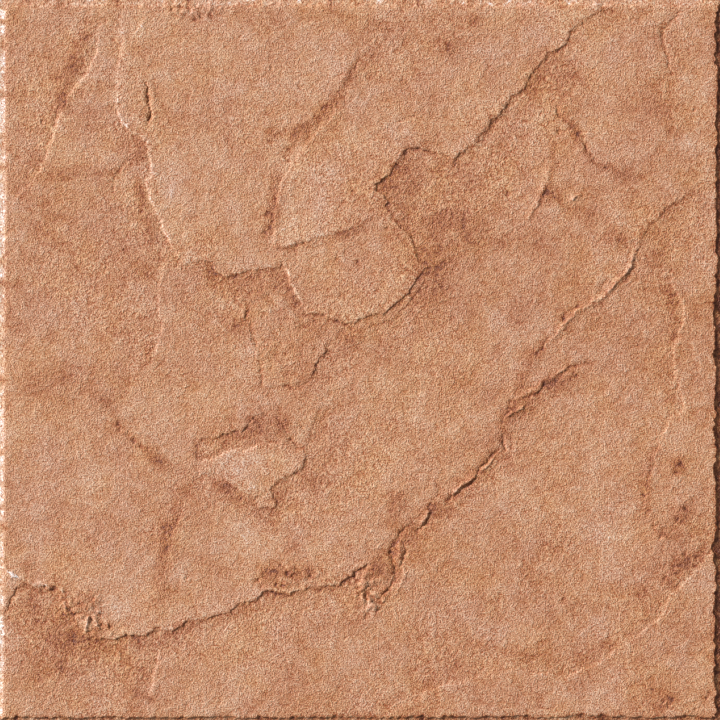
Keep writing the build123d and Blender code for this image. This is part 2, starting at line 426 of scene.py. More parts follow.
# Blotches of colour: u, v, half width, half height, and how pale (or brown, if negative)
BLOTCHES = [
    (446, 234, 44, 26, -0.26), (470, 222, 18, 12, -0.26), (432, 182, 44, 22, -0.12),
    (500, 160, 30, 30, -0.08), (425, 262, 14, 18, -0.16), (432, 300, 26, 24, -0.14),
    (400, 190, 18, 34, -0.16), (450, 47, 14, 9, -0.22), (472, 22, 7, 6, -0.32),
    (565, 90, 30, 26, -0.12), (546, 194, 8, 8, -0.28), (624, 237, 14, 6, -0.36),
    (655, 258, 12, 9, -0.22), (384, 572, 14, 20, -0.12), (346, 564, 15, 6, 0.16),
    (372, 568, 6, 10, -0.3), (312, 572, 7, 8, -0.32), (60, 385, 34, 16, -0.2),
    (95, 400, 18, 14, -0.16), (310, 483, 13, 8, -0.26), (236, 328, 14, 9, -0.22),
    (262, 355, 5, 10, -0.15), (680, 468, 7, 8, -0.5), (682, 512, 8, 7, -0.28),
    (672, 533, 12, 9, -0.16), (570, 605, 10, 10, -0.2), (527, 655, 14, 8, -0.16),
    (485, 645, 8, 8, -0.2), (632, 628, 8, 8, -0.18), (516, 316, 10, 12, -0.22),
    (460, 380, 24, 22, -0.12), (498, 362, 8, 18, -0.14), (596, 320, 16, 8, -0.16),
    (355, 340, 9, 9, -0.45), (278, 137, 6, 5, -0.24), (352, 625, 12, 8, -0.1),
    (670, 700, 12, 7, -0.2), (275, 497, 6, 9, -0.3), (520, 240, 10, 8, -0.1), (292, 545, 10, 7, -0.2),
    (560, 385, 16, 9, -0.18), (520, 382, 12, 10, -0.16), (172, 548, 10, 16, -0.1),
    (60, 655, 52, 24, -0.1), (130, 668, 24, 20, -0.12), (88, 599, 12, 9, -0.26),
    (95, 630, 3, 3, -0.4), (112, 627, 3, 6, -0.4), (26, 567, 6, 5, -0.3), (53, 581, 6, 4, -0.26),
    (58, 140, 14, 14, 0.1), (135, 30, 18, 14, 0.06), (310, 190, 34, 40, 0.16),
    (255, 464, 32, 14, 0.2), (268, 430, 13, 8, -0.14), (555, 440, 16, 30, 0.08),
    (620, 540, 22, 14, 0.06), (698, 95, 12, 34, 0.2), (690, 140, 16, 16, 0.2),
    (700, 665, 16, 14, 0.1), (55, 560, 40, 14, 0.08), (128, 600, 28, 18, 0.12),
    (450, 500, 26, 14, 0.06), (80, 335, 24, 18, 0.08),
    (250, 540, 28, 18, 0.26), (200, 180, 40, 30, 0.05), (40, 500, 36, 40, 0.04),
    (560, 30, 30, 16, 0.1),
]

# Pits: u, v, radius and depth in millimetres
PITS = [
    (357, 183, 2, 0.35), (353, 192, 1.8, 0.3), (344, 202, 1.8, 0.3), (345, 255, 2, 0.35),
    (337, 260, 2.2, 0.35), (359, 262, 2.6, 0.4), (341, 295, 2, 0.35), (364, 303, 2, 0.3),
    (507, 194, 2.6, 0.35), (558, 133, 2.4, 0.5), (396, 54, 2.5, 0.25), (371, 57, 2.5, 0.2),
    (405, 83, 2.5, 0.2), (323, 174, 2.5, 0.2), (561, 132, 3, 0.3), (366, 596, 2.4, 0.45),
    (366, 616, 2.4, 0.4), (379, 609, 2.4, 0.4), (385, 604, 2.2, 0.4), (392, 574, 2.4, 0.35),
    (368, 588, 2.2, 0.35), (259, 579, 2.2, 0.5), (264, 576, 2, 0.4), (268, 571, 2, 0.4),
    (281, 564, 2, 0.45), (289, 571, 2, 0.4), (292, 576, 2.2, 0.45), (297, 568, 2, 0.4),
    (276, 585, 2, 0.35), (284, 585, 2.2, 0.4), (263, 585, 2, 0.4), (312, 574, 3, 0.4),
    (366, 566, 3, 0.4), (62, 600, 2, 0.4), (80, 604, 2.2, 0.35), (88, 606, 2, 0.3), (95, 600, 2, 0.3),
    (93, 630, 1.8, 0.45), (103, 624, 1.8, 0.4), (110, 628, 1.8, 0.45), (84, 628, 1.8, 0.4),
    (66, 592, 2, 0.35), (290, 150, 3, 0.4), (296, 145, 2.4, 0.35), (284, 158, 2.4, 0.4),
    (300, 135, 2.4, 0.3), (288, 162, 2, 0.35), (272, 190, 2, 0.3), (268, 215, 2, 0.3),
    (265, 235, 2.4, 0.35), (270, 228, 2, 0.3), (119, 426, 2, 0.35), (123, 430, 2.2, 0.35),
    (129, 435, 2, 0.3), (136, 441, 2, 0.3), (142, 446, 2.2, 0.35), (697, 556, 2.4, 0.35),
    (676, 574, 2.2, 0.3), (664, 578, 2.4, 0.3), (702, 552, 2.4, 0.35), (660, 536, 2.4, 0.3),
    (652, 526, 2.2, 0.3), (662, 700, 2.2, 0.4), (668, 704, 2.2, 0.4), (672, 698, 1.8, 0.3),
    (651, 688, 1.8, 0.3), (706, 698, 1.8, 0.35), (709, 692, 1.8, 0.35), (563, 599, 2, 0.3),
    (172, 8, 2.4, 0.4), (180, 6, 2, 0.35), (188, 10, 2.4, 0.4), (194, 21, 2.2, 0.35),
    (201, 19, 2, 0.35), (209, 16, 2.2, 0.35), (236, 9, 2.4, 0.4), (302, 88, 2.4, 0.3),
    (281, 134, 2.6, 0.3), (271, 142, 2.4, 0.3), (679, 464, 2.4, 0.35), (676, 472, 2.2, 0.35),
    (643, 492, 2, 0.3), (647, 508, 2.2, 0.3), (686, 508, 2.4, 0.35), (676, 520, 2.2, 0.3),
    (690, 532, 2.4, 0.3), (684, 556, 2.6, 0.35), (672, 566, 2.2, 0.3), (568, 368, 2.4, 0.3),
    (576, 376, 2.2, 0.3), (447, 44, 2.4, 0.35), (454, 52, 2.2, 0.3), (473, 24, 2.6, 0.35),
]

# Crumbled ground: u, v, half width, half height, and height of its lumps in millimetres
CRUMBLES = [
    (370, 592, 17, 24, 0.5), (284, 577, 20, 11, 0.36), (84, 610, 26, 19, 0.4),
    (268, 294, 26, 18, 0.26), (286, 345, 32, 40, 0.23), (335, 575, 30, 9, 0.25),
    (262, 424, 26, 16, 0.12), (198, 10, 38, 9, 0.32), (100, 16, 20, 12, 0.14),
    (676, 522, 24, 38, 0.16), (394, 226, 11, 15, 0.2), (438, 240, 30, 22, 0.12),
]

# Broken edge: how far the face stands in from the tile's outline, in sheet units, as
# (place along the side, inset). Sides run from the top or the left end in the photograph.
EDGE_LINES = {
    "left": [(0, 6.4), (200, 6.0), (400, 5.2), (600, 4.4), (720, 4.0)],
    "right": [(0, 4.6), (200, 5.0), (400, 6.0), (560, 6.4), (720, 6.4)],
    "top": [(0, 6.4), (360, 6.0), (720, 6.2)],
    "bottom": [(0, 4.0), (360, 4.3), (720, 4.7)],
}
# Chips out of the broken edge: place along the side, half width and depth, in sheet units
CHIPS = {
    "left": [
        (7, 3, 1.5), (23, 2.5, 1.2), (45, 4, 1.6), (94, 3, 1.2), (137, 2, 1.0), (168, 3, 1.2),
        (262, 4, 1.0), (284, 4, 1.2), (340, 4, 1.2), (380, 4, 1.2), (452, 3, 1.0), (526, 5, 1.2),
        (610, 4, 1.0),
    ],
    "right": [(547, 5, 4.0), (120, 4, 1.5), (300, 5, 1.5), (430, 4, 1.5), (640, 5, 1.5)],
    "top": [
        (28, 2, 1.6), (60, 3, 1.6), (118, 2, 1.6), (190, 4, 1.8), (262, 2, 1.6), (330, 3, 1.6),
        (356, 2, 1.6), (404, 2, 1.8), (418, 2, 1.8), (470, 4, 1.6), (560, 2, 1.4), (650, 3, 1.4),
    ],
    "bottom": [
        (18, 2.5, 2.2), (48, 2.5, 2.0), (183, 3, 2.2), (259, 2.5, 2.2), (294, 2.5, 2.0),
        (323, 2, 2.0), (335, 2, 1.8), (343, 2, 1.8), (421, 3, 2.2), (444, 2.5, 2.0),
        (503, 3, 2.2), (527, 2.5, 2.0), (581, 3, 2.2), (602, 2.5, 2.0),
    ],
}
# Raggedness of the broken edge, in sheet units, with seeds that go up from side to side
EDGE_RAGGED = {"left": 0.3, "right": 1.1, "top": 0.8, "bottom": 0.9}
EDGE_NOISES = [Noise(1, 9, 51), Noise(1, 26, 52), Noise(1.3, 4, 59)]
SIDE_SEEDS = 2
LEAST_INSET = 1.0
EDGE_FADE = 24.0  # how far inside the edge the face's grid is drawn in
CORNER_BLEND = 2  # how far along from a corner two sides blend
# Worn fall of the face at its edge, in millimetres, and its reach in sheet units
EDGE_DROP = {"left": 0.06, "right": 0.1, "top": 0.2, "bottom": 0.15}
DROP_NOISE = Noise(0.7, 6, 61, 2)
DROP_REACH = 2.5

# Wall below the broken edge: its toe stands in by a share of the face's inset
TOE_SHARE = {"left": 0.15, "right": 0.85, "top": 0.2, "bottom": 0.75}
WALL_DROPS = (0.15, 0.5, 1.0)  # shares of the way down at which the wall has a ring
RIM_STEP = 2.0  # step of the rings' noises from one point to the next
BITE_NOISE = Noise(0.1, 12, 71, 3)  # share of the inset by which the wall is uneven
BITE_SHIFT = 40  # step of that noise down the wall

# Shifts that make lines ragged, and larger ones that blur the drawn shape of stains, in sheet
# units: size of the noise, reach, and a seed each for u and v
RAGGED = [(11, 1.3, 11, 12), (4.5, 1.1, 13, 14), (2.2, 1.0, 19, 20)]
WAVERING = [(26, 6, 15, 17), (9, 3, 16, 18)]
FADE_SHARE = 1 / 6  # share of a line over which each end of it fades

# Ground of the face, in millimetres
GROUND_NOISES = [Noise(0.1, 90, 21, 2), Noise(0.05, 22, 23, 2)]

# Shape of a ledge: reaches, places and widths in sheet units, limits in millimetres of rise
CREST_SHARE = 0.45  # share of the rise that stands above the mean ground
CREST_REACH = 60.0
TOE_REACH = 35.0
LEDGE_MARGIN = 3 * CREST_REACH
RISE_NOISE = Noise(0.35, 14, 33)
SPLIT_NOISE = Noise(1, 20, 35)
LIP_SHARE = 0.4  # height of the lip along the crest, as a share of the rise
LIP_LIMIT = 0.5
LIP_PLACE = 1.7
LIP_WIDTH = 1.4
LIP_MEAN = 0.5
LIP_NOISE = Noise(1, 9, 39)
CRUMB_NOISE = Noise(0.25, 5, 31, 2)  # crumbs along the toe, as a share of the rise
CRUMB_LIMIT = 0.6
CRUMB_PLACE = -1
CRUMB_REACH = 4

# Creases and crumbled ground
CREASE_MARGIN = 5  # half widths within which a crease is worked out
CREASE_NOISE = Noise(0.5, 7, 37)
CRUMBLE_REACH = 1.5  # half sizes at which crumbled ground has faded out
LUMP_NOISES = [Noise(1.6, 5.5, 91), Noise(1.2, 3, 92)]
LUMP_GROUND = 0.75  # depth of the hollows, as a share of the lumps' height

# Tone runs from 0, dark brown, through 0.5 to 1, near white
# besides the body's colours, the tone carries painted light and shade at the flanks, steps, cracks, folds,
# pits and crumb hollows
MEAN_TONE = 0.52
TONE_NOISES = [Noise(0.05, 60, 25, 3), Noise(0.05, 16, 27, 2)]
STAIN_MARGIN = 4  # half widths within which a stain is worked out
STAIN_NOISE = Noise(0.45, 11, 41, 2)
BLOTCH_NOISE = Noise(0.45, 13, 43, 2)
FULL_RISE = 0.4  # rise from which a ledge has its full tone
STAIN_REACH = 14.0
# painted highlight along a ledge's lip; the high ground beside it is a little paler in colour
LIP_HIGHLIGHT = 0.14
CREST_PALE = 0.05
SHADE_LINE_PLACE = -0.8  # place of a line of painted shade, at the toe
HIGHLIGHT_LINE_PLACE = 0.3  # place of a painted highlight, on the step
LINE_WIDTH = 1.1
LINE_LIMIT = 0.5
CRACK_SHADE = 0.8  # painted shade in a crack, in tone for each millimetre of its depth
FOLD_HIGHLIGHT = 0.5  # and painted highlight along a fold, for each millimetre of its height
# painted shade in a pit's bowl
PIT_SHADE = 0.4
# painted shade in the hollows of crumbled ground
HOLLOW_SHADE = 1.3
SETTLE_FROM = 0.32  # tone from which brown builds up more slowly
SETTLE_DEPTH = 0.16  # how much deeper it may get

# Tone of the flanks, as wall and rounded upper edge of the foot, with light and shade painted in by side,
# and of the back with the rest of the foot
FLANK_TONES_WITH_PAINTED_LIGHT = {
    # painted highlight on the left flank, which faces the key light, painted shade on the right one, which
    # is turned from it, and a darker bottom wall and paler top wall for the same cause
    "left": (0.86, 0.88),
    "right": (0.12, 0.02),
    "top": (0.65, 0.53),
    "bottom": (0.34, 0.5),
}
WALL, FOOT = 0, 1
DARKEST_FLANK = 0.1
CHIP_BROWN = 0.4
EDGE_BLEND = 0.8  # share of the wall's tone, with its painted light and shade, that the face takes on at its edge
BLEND_REACH = 2.2
PATCHY = {"left": 0.08, "right": 0.3, "top": 0.25, "bottom": 0.3}  # unevenness of the wall's tone
WALL_NOISE = Noise(1, 7, 75, 2)
FOOT_NOISE = Noise(0.08, 14, 77, 2)
PATCHY_SHIFT = 20  # step of these noises from ring to ring
BACK_TONE = 0.5
BACK_NOISE = Noise(0.05, 25, 81, 3)


def smoothstep(t):
    """Smooth way from 0 to 1."""
    t = np.clip(t, 0, 1)
    return t * t * (3 - 2 * t)


def value_noise(u, v, size, seed):
    """Smooth noise from -1 to 1 with features about size across."""
    table = np.random.default_rng(seed).uniform(-1, 1, (NOISE_CELLS, NOISE_CELLS))
    gu, gv = u / size, v / size
    iu, iv = np.floor(gu).astype(int), np.floor(gv).astype(int)
    fu, fv = smoothstep(gu - iu), smoothstep(gv - iv)
    iu, iv = iu % NOISE_CELLS, iv % NOISE_CELLS
    next_u, next_v = (iu + 1) % NOISE_CELLS, (iv + 1) % NOISE_CELLS
    near = table[iu, iv] * (1 - fu) + table[next_u, iv] * fu
    far = table[iu, next_v] * (1 - fu) + table[next_u, next_v] * fu
    return near * (1 - fv) + far * fv


def bell(gap, width):
    """Strength that falls off smoothly on both sides of a line."""
    return np.exp(-((gap / width) ** 2))


def shifted(u, v, shifts):
    """Places shifted to and fro by layers of noise."""
    du, dv = 0, 0
    for size, reach, seed_u, seed_v in shifts:
        du = du + reach * value_noise(u, v, size, seed_u)
        dv = dv + reach * value_noise(u, v, size, seed_v)
    return u + du, v + dv


def walk(points, u, v):
    """Signed distance to a line of points (positive on its right hand) and the share walked."""
    gap = np.full(u.shape, np.inf)
    across = np.zeros(u.shape)
    walked = np.zeros(u.shape)
    run = 0.0
    for (u0, v0), (u1, v1) in zip(points, points[1:]):
        du, dv = u1 - u0, v1 - v0
        length = math.hypot(du, dv)
        share = np.clip(((u - u0) * du + (v - v0) * dv) / length**2, 0, 1)
        reach = np.hypot(u - u0 - share * du, v - v0 - share * dv)
        side = (du * (v - v0) - dv * (u - u0)) / length
        tie = (reach < gap + SMALL) & (np.abs(side) > np.abs(across))
        nearer = (reach < gap - SMALL) | tie
        gap = np.where(nearer, reach, gap)
        across = np.where(nearer, side, across)
        walked = np.where(nearer, run + share * length, walked)
        run += length
    return gap * np.sign(across), walked / run


def within(points, reach, u, v):
    """Indices of the places inside the box of some points, widened by reach."""
    low = np.min(points, axis=0) - reach
    high = np.max(points, axis=0) + reach
    return np.flatnonzero((u > low[0]) & (u < high[0]) & (v > low[1]) & (v < high[1]))


def along(profile, place):
    """Value of a profile, given as (place, value) pairs, at a place."""
    return np.interp(place, *zip(*profile))


def faded(share):
    """Strength along a line that fades at both ends."""
    return smoothstep(np.minimum(share, 1 - share) / FADE_SHARE)


def add_ledge(ledge, u, v, height, tone):
    """Adds a ledge's step, crest, toe, lip and crumbs to the height, and its colours to the tone, with
    painted shade and highlights along the step and a painted highlight on the lip.
    """
    near = within(ledge.points, LEDGE_MARGIN, u, v)
    u, v = u[near], v[near]
    across, share = walk(ledge.points, u, v)
    rise = along(ledge.rise, share) * (1 + RISE_NOISE.at(u, v))
    crest = np.exp(-np.maximum(across, 0) / CREST_REACH)
    high = CREST_SHARE * crest
    low = (CREST_SHARE - 1) * np.exp(np.minimum(across, 0) / TOE_REACH)
    part = ledge.split * np.maximum(SPLIT_NOISE.at(u, v), 0)
    step = along(ledge.step, share)
    lower = smoothstep((across + part) / step + 0.5)
    upper = smoothstep((across - part) / step + 0.5)
    up = (lower + upper) / 2
    height[near] += rise * (low + (high - low) * up)
    lip = np.maximum(LIP_MEAN + LIP_NOISE.at(u, v), 0) * bell(across - LIP_PLACE, LIP_WIDTH)
    height[near] += LIP_SHARE * np.minimum(rise, LIP_LIMIT) * lip
    crumbs = CRUMB_NOISE.at(u, v) * np.exp(-np.abs(across - CRUMB_PLACE) / CRUMB_REACH)
    height[near] += np.minimum(rise, CRUMB_LIMIT) * crumbs
    stain = ledge.stain * np.exp(np.minimum(across, 0) / STAIN_REACH) * (1 - up)
    # the lip's pale tone is a painted highlight; the crest's is the paler colour of high ground
    worn = LIP_HIGHLIGHT * lip + CREST_PALE * up * crest
    tone[near] += (worn - stain) * np.minimum(rise / FULL_RISE, 1)
    # painted shade along steps turned from the light, painted highlight along steps that face it
    line = along(ledge.line, share)
    beside = across - np.where(line < 0, SHADE_LINE_PLACE, HIGHLIGHT_LINE_PLACE)
    tone[near] += line * np.minimum(rise, LINE_LIMIT) * bell(beside, LINE_WIDTH)


def add_crease(crease, u, v, height, tone):
    """Adds a crack or a fold to the height, and to the tone painted shade in a crack and a painted
    highlight along a fold.
    """
    near = within(crease.points, CREASE_MARGIN * crease.width, u, v)
    u, v = u[near], v[near]
    across, share = walk(crease.points, u, v)
    lift = crease.lift * faded(share) * (1 + CREASE_NOISE.at(u, v)) * bell(across, crease.width)
    height[near] += lift
    # painted shade in cracks, painted highlight on folds
    tone[near] += np.where(lift < 0, CRACK_SHADE, FOLD_HIGHLIGHT) * lift


def add_stain(stain, u, v, tone):
    """Darkens a vein of the face to brown, with uneven edges and faded ends."""
    near = within(stain.points, STAIN_MARGIN * stain.width, u, v)
    u, v = u[near], v[near]
    across, share = walk(stain.points, u, v)
    tone[near] -= stain.depth * faded(share) * (1 + STAIN_NOISE.at(u, v)) * bell(across, stain.width)


def add_blotch(blotch, u, v, tone):
    """Makes a patch of the face paler or browner."""
    centre_u, centre_v, half_u, half_v, depth = blotch
    strength = bell(u - centre_u, half_u) * bell(v - centre_v, half_v)
    tone += depth * strength * (1 + BLOTCH_NOISE.at(u, v))


def add_pit(pit, u, v, height, tone):
    """Sinks a small pit into the face, with painted shade in its bowl."""
    centre_u, centre_v, radius, depth = pit
    bowl = bell(np.hypot(u - centre_u, v - centre_v), radius)
    height -= depth * bowl
    tone -= PIT_SHADE * bowl


def crumbled(crumble, u, v):
    """How far into crumbled ground each place is, from 0 outside to 1 inside."""
    centre_u, centre_v, half_u, half_v, _ = crumble
    return smoothstep(CRUMBLE_REACH - np.hypot((u - centre_u) / half_u, (v - centre_v) / half_v))


def add_crumble(crumble, u, v, height, tone):
    """Adds lumps to crumbled ground, with painted shade in the hollows between them."""
    strength = crumble[-1] * crumbled(crumble, u, v)
    lumps = sum(np.abs(noise.at(u, v)) for noise in LUMP_NOISES) - LUMP_GROUND
    height += strength * lumps
    # painted shade in the hollows
    tone -= HOLLOW_SHADE * strength * np.maximum(-lumps, 0)


def settled(tone):
    """Tone with its brown end drawn in, so that stains that overlap don't go black."""
    drop = np.maximum(SETTLE_FROM - tone, 0)
    return np.maximum(tone, SETTLE_FROM) - SETTLE_DEPTH * (1 - np.exp(-drop / SETTLE_DEPTH))


def face_relief(u, v):
    """Height in millimetres and tone of the face at places on the sheet."""
    height = FACE_Z + sum(noise.at(u, v) for noise in GROUND_NOISES)
    tone = MEAN_TONE + sum(noise.at(u, v) for noise in TONE_NOISES)
    line_u, line_v = shifted(u, v, RAGGED)
    reliefs = [(add_ledge, LEDGES), (add_crease, CREASES), (add_crumble, CRUMBLES), (add_pit, PITS)]
    for add_relief, items in reliefs:
        for item in items:
            add_relief(item, line_u, line_v, height, tone)
    stain_u, stain_v = shifted(u, v, WAVERING)
    for add_colour, items in [(add_stain, STAINS), (add_blotch, BLOTCHES)]:
        for item in items:
            add_colour(item, stain_u, stain_v, tone)
    return height, settled(tone)


def detail_gap(u, v):
    """Distance in sheet units to the nearest line or pit that needs a fine grid."""
    u, v = shifted(u, v, RAGGED)
    gap = np.full(u.shape, np.inf)
    for line in LEDGES + FINE_CREASES:
        near = within(line.points, LINE_MARGIN, u, v)
        across, _ = walk(line.points, u[near], v[near])
        gap[near] = np.minimum(gap[near], np.abs(across))
    for crumble in CRUMBLES:
        stand_in = CRUMBLE_GAP if crumble[-1] > ROUGH_CRUMBS else 2 * CRUMBLE_GAP
        inside = crumbled(crumble, u, v) > CRUMBLE_RIM
        gap = np.where(inside, np.minimum(gap, stand_in), gap)
    for pit_u, pit_v, radius, _ in PITS:
        gap = np.minimum(gap, np.abs(np.hypot(u - pit_u, v - pit_v) - radius))
    return gap


def face_cells():
    """Square cells of the face as (column, row, size) on the finest lattice."""
    size = 2**LEVELS
    column, row = np.meshgrid(np.arange(COARSE) * size, np.arange(COARSE) * size, indexing="ij")
    column, row = column.ravel(), row.ravel()
    fine = COARSE * size
    cells = []
    for level in range(LEVELS + 1):
        pitch = SHEET / fine
        centre_u, centre_v = (column + size / 2) * pitch, (row + size / 2) * pitch
        at_edge = (column == 0) | (row == 0) | (column + size == fine) | (row + size == fine)
        split = np.zeros(column.shape, bool)
        if level < LEVELS:
            near_detail = detail_gap(centre_u, centre_v) < DETAIL_REACH[level]
            split = np.where(at_edge, level < EDGE_LEVEL, near_detail)
        cells.append(np.stack([column, row, np.full(column.shape, size)], axis=1)[~split])
        half = size // 2
        column = np.concatenate([column[split] + a * half for a in (0, 1) for _ in (0, 1)])
        row = np.concatenate([row[split] + b * half for _ in (0, 1) for b in (0, 1)])
        size = half
    return np.concatenate(cells), fine


def cell_polygons(cells, fine):
    """Corner loops of the cells, with the corners of finer neighbours put in, and the nodes used."""
    used = np.zeros((fine + 1, fine + 1), bool)
    for a in (0, 1):
        for b in (0, 1):
            used[cells[:, 0] + a * cells[:, 2], cells[:, 1] + b * cells[:, 2]] = True
    number = np.cumsum(used.ravel()).reshape(used.shape) - 1
    loops = []
    for column, row, size in cells:
        ring = [(column + k, row) for k in range(size)]
        ring += [(column + size, row + k) for k in range(size)]
        ring += [(column + size - k, row + size) for k in range(size)]
        ring += [(column, row + size - k) for k in range(size)]
        loops.append([number[node] for node in reversed(ring) if used[node]])
    return loops, used, number


def in_turn(count):
    """Each number below count with the one after it, and the last with the first."""
    return [(k, (k + 1) % count) for k in range(count)]


def edge_inset(side, place):
    """How far the face stands in from the outline at places along a side, in sheet units."""
    inset = along(EDGE_LINES[side], place)
    shift = SIDE_SEEDS * list(EDGE_LINES).index(side)
    for noise in EDGE_NOISES:
        side_noise = noise._replace(seed=noise.seed + shift)
        inset = inset + EDGE_RAGGED[side] * side_noise.at(place, 0 * place)
    for centre, half, depth in CHIPS[side]:
        inset = inset + depth * bell(place - centre, half)
    return np.maximum(inset, LEAST_INSET)


def draw_in(u, v, share=1.0):
    """Moves places near the tile's outline inwards, so that the outline becomes the broken edge."""
    def fade(gap):
        return share * np.clip(1 - gap / EDGE_FADE, 0, 1) ** 2
    new_u = u + edge_inset("left", v) * fade(u) - edge_inset("right", v) * fade(SHEET - u)
    new_v = v + edge_inset("top", u) * fade(v) - edge_inset("bottom", u) * fade(SHEET - v)
    return new_u, new_v


def on_tile(u, v, height):
    """Points in metres from sheet places and heights in millimetres."""
    x = (u - SHEET / 2) * UNIT
    y = (SHEET / 2 - v) * UNIT
    return np.stack([x, y, np.broadcast_to(height, np.shape(u))], axis=-1) * MM


def outline_nodes(fine):
    """Lattice nodes round the tile's outline, clockwise as seen on the face."""
    step = 2 ** (LEVELS - EDGE_LEVEL)
    run = np.arange(0, fine, step)
    low, high = np.zeros_like(run), np.full_like(run, fine)
    columns = np.concatenate([run, high, fine - run, low])
    rows = np.concatenate([low, run, high, fine - run])
    return columns, rows


def rounded(u, v, inset):
    """The foot's outline, drawn in by an inset in millimetres, with round upright corners."""
    half = SHEET / 2
    radius = CORNER_R / UNIT
    du, dv = u - half, v - half
    core = half - radius
    out_u, out_v = np.clip(du, -core, core), np.clip(dv, -core, core)
    away_u, away_v = du - out_u, dv - out_v
    far = np.maximum(np.hypot(away_u, away_v), TINY)
    reach = radius - inset / UNIT
    return half + out_u + away_u / far * reach, half + out_v + away_v / far * reach


def outline_gaps(u, v):
    """Distance of places from each side of the outline, in sheet units."""
    return {"left": u, "right": SHEET - u, "top": v, "bottom": SHEET - v}


def side_share(u, v):
    """Which side of the outline each place belongs to, as a weight for each side."""
    weights = {side: np.exp(-gap / CORNER_BLEND) for side, gap in outline_gaps(u, v).items()}
    total = sum(weights.values())
    return {side: weight / total for side, weight in weights.items()}


def shared(weights, values):
    """A value that each side has of its own, blended at the corners."""
    return sum(weight * values[side] for side, weight in weights.items())


def flank_tone(u, v, part):
    """Tone of the wall or of the foot's rounded upper edge round the outline, with light and shade painted
    in by side, browner at the chips.
    """
    places = {"left": v, "right": v, "top": u, "bottom": u}
    tones = {}
    for side, place in places.items():
        chip = sum(bell(place - centre, half) for centre, half, _ in CHIPS[side])
        tones[side] = FLANK_TONES_WITH_PAINTED_LIGHT[side][part] - CHIP_BROWN * np.minimum(chip, 1)
    return np.maximum(shared(side_share(u, v), tones), DARKEST_FLANK)


def flank_rings(u, v, arris_z):
    """Rings of points from below the broken edge down to the back, with the tone of each ring."""
    weights = side_share(u, v)
    # these tones hold painted light and shade: pale on the lit left side, dark on the shaded right
    wall_tone, foot_tone = flank_tone(u, v, WALL), flank_tone(u, v, FOOT)
    toe_share = shared(weights, TOE_SHARE)
    foot_h = shared(weights, FOOT_H)
    run = np.arange(len(u)) * RIM_STEP
    rings = []
    for drop in WALL_DROPS:
        share = 1 + (toe_share - 1) * drop
        bite = math.sin(math.pi * drop) * BITE_NOISE.at(run, 0 * run + BITE_SHIFT * drop)
        ring_u, ring_v = draw_in(u, v, share + bite)
        ring_z = arris_z + (foot_h - arris_z) * drop
        patchy = shared(weights, PATCHY) * WALL_NOISE.at(run, 0 * run + PATCHY_SHIFT * drop)
        rings.append((on_tile(ring_u, ring_v, ring_z), wall_tone + patchy))
    middle = ROUND_MIDDLE * FOOT_ROUND
    worn = [(FOOT_ROUND, foot_h), (middle, foot_h - middle), (0, foot_h - FOOT_ROUND)]
    for inset, height in worn:
        patchy = FOOT_NOISE.at(run, 0 * run + PATCHY_SHIFT * height)
        rings.append((on_tile(*rounded(u, v, inset), height), foot_tone + patchy))
    plain = [(0, foot_h - FOOT_ROUND - FOOT_PAINT_FADE), (0, BACK_BEVEL), (BACK_BEVEL, 0)]
    for inset, height in plain:
        rings.append((on_tile(*rounded(u, v, inset), height), np.full(u.shape, BACK_TONE)))
    return rings


CORNER_POINTS = 3  # points round one corner of a pocket


def rounded_square(half, radius):
    """Points of a square with round corners, anticlockwise."""
    reach = (half - radius) * math.sqrt(2)
    points = []
    for corner in range(4):
        centre = math.radians(45 + 90 * corner)
        for k in range(CORNER_POINTS):
            angle = math.radians(90 * corner + 90 * k / (CORNER_POINTS - 1))
            x = reach * math.cos(centre) + radius * math.cos(angle)
            y = reach * math.sin(centre) + radius * math.sin(angle)
            points.append((x, y))
    return points


CELL_ROUND = 0.8  # share of a cell's half width that goes to its corners' points


def cell_square(half):
    """Points of a plain square that match those of rounded_square one by one."""
    points = []
    for x, y in rounded_square(half, CELL_ROUND * half):
        scale = half / max(abs(x), abs(y))
        points.append((x * scale, y * scale))
    return points


DECIMALS = 3  # of a millimetre, to which points of the back are joined
RIM_SLACK = 0.01  # millimetres by which a point of the pocket grid's rim may miss it


def back_surface():
    """The keyed back: points in millimetres, faces, and which points lie on the pocket grid's rim."""
    pitch = POCKET + RIB
    foot = POCKET / 2 - POCKET_SLOPE
    bevel, bevel_h = FLOOR_BEVEL
    rings = [
        (cell_square(pitch / 2), 0),
        (rounded_square(POCKET / 2, POCKET_ROUND), 0),
        (rounded_square(foot, POCKET_ROUND), POCKET_DEPTH - bevel_h),
        (rounded_square(foot - bevel, POCKET_ROUND), POCKET_DEPTH),
    ]
    points, faces, seen = [], [], {}

    def index(x, y, z):
        key = (round(x, DECIMALS), round(y, DECIMALS), round(z, DECIMALS))
        if key not in seen:
            seen[key] = len(points)
            points.append(key)
        return seen[key]

    for column in range(POCKETS):
        for row in range(POCKETS):
            x0 = (column - (POCKETS - 1) / 2) * pitch
            y0 = (row - (POCKETS - 1) / 2) * pitch
            loops = [[index(x0 + x, y0 + y, z) for x, y in ring] for ring, z in rings]
            for outer, inner in zip(loops, loops[1:]):
                faces += [[outer[k], inner[k], inner[n], outer[n]] for k, n in in_turn(len(outer))]
            faces.append(loops[-1][::-1])
    edge = POCKETS * pitch / 2
    rim = [k for k, (x, y, z) in enumerate(points) if max(abs(x), abs(y)) > edge - RIM_SLACK]
    return np.array(points), faces, rim


def turn_of(x, y):
    """Place round a square, from 0 to 4, clockwise as seen on the face from its top left corner."""
    half = np.maximum(np.abs(x), np.abs(y))
    top, right = np.abs(y - half) < TINY, np.abs(x - half) < TINY
    bottom, left = np.abs(y + half) < TINY, np.abs(x + half) < TINY
    place = np.where(top, (x / half + 1) / 2, 0.0)
    place = np.where(right & (y < half), 1 + (1 - y / half) / 2, place)
    place = np.where(bottom & (x < half), 2 + (1 - x / half) / 2, place)
    return np.where(left & (np.abs(y) < half), 3 + (y / half + 1) / 2, place)


